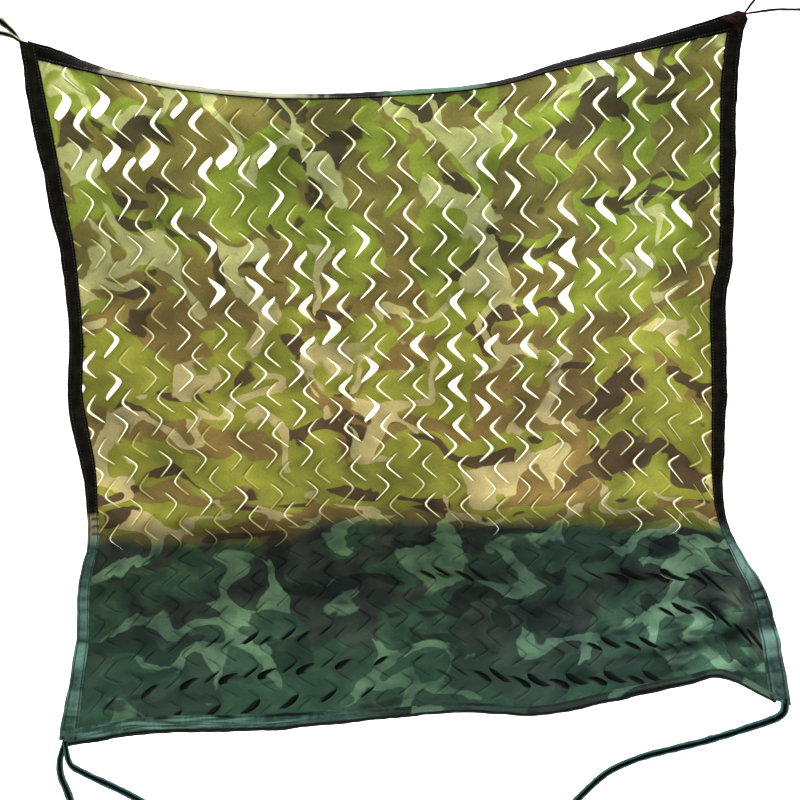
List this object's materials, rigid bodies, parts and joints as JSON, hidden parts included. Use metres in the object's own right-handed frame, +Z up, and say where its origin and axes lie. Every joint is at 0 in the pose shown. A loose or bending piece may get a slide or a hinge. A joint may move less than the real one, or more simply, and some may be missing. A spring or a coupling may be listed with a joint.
{
  "type": "camouflage netting",
  "caption": "Panel of camouflage netting: printed cloth cut all over with staggered chevrons, closed by folded binding strips and hung by tape ties that leave its corners",
  "frame": {"origin": "middle of the top edge, on the top binding, where the netting is held", "axes": "+Z up, +X to the right seen from the face, -Y the way the face of the netting looks"},
  "size_m": [1.3754, 0.1299, 1.3687],
  "materials": {
    "printed_cloth": "matte printed cloth, green, brown and dark grey",
    "binding_cloth": "matte folded cloth, dark green",
    "tape_cloth": "matte folded tape, dark green"
  },
  "bodies": {
    "root": {"net_sheet": "printed_cloth", "binding_top": "binding_cloth", "binding_right": "binding_cloth", "binding_bottom": "binding_cloth", "binding_left": "binding_cloth", "tie_top_left_upper": "tape_cloth", "tie_top_left_lower": "tape_cloth", "tie_top_right_upper": "tape_cloth", "tie_top_right_side": "tape_cloth", "tie_bottom_left_inner": "tape_cloth", "tie_bottom_left_outer": "tape_cloth", "tie_bottom_right": "tape_cloth"}
  },
  "joints": []
}
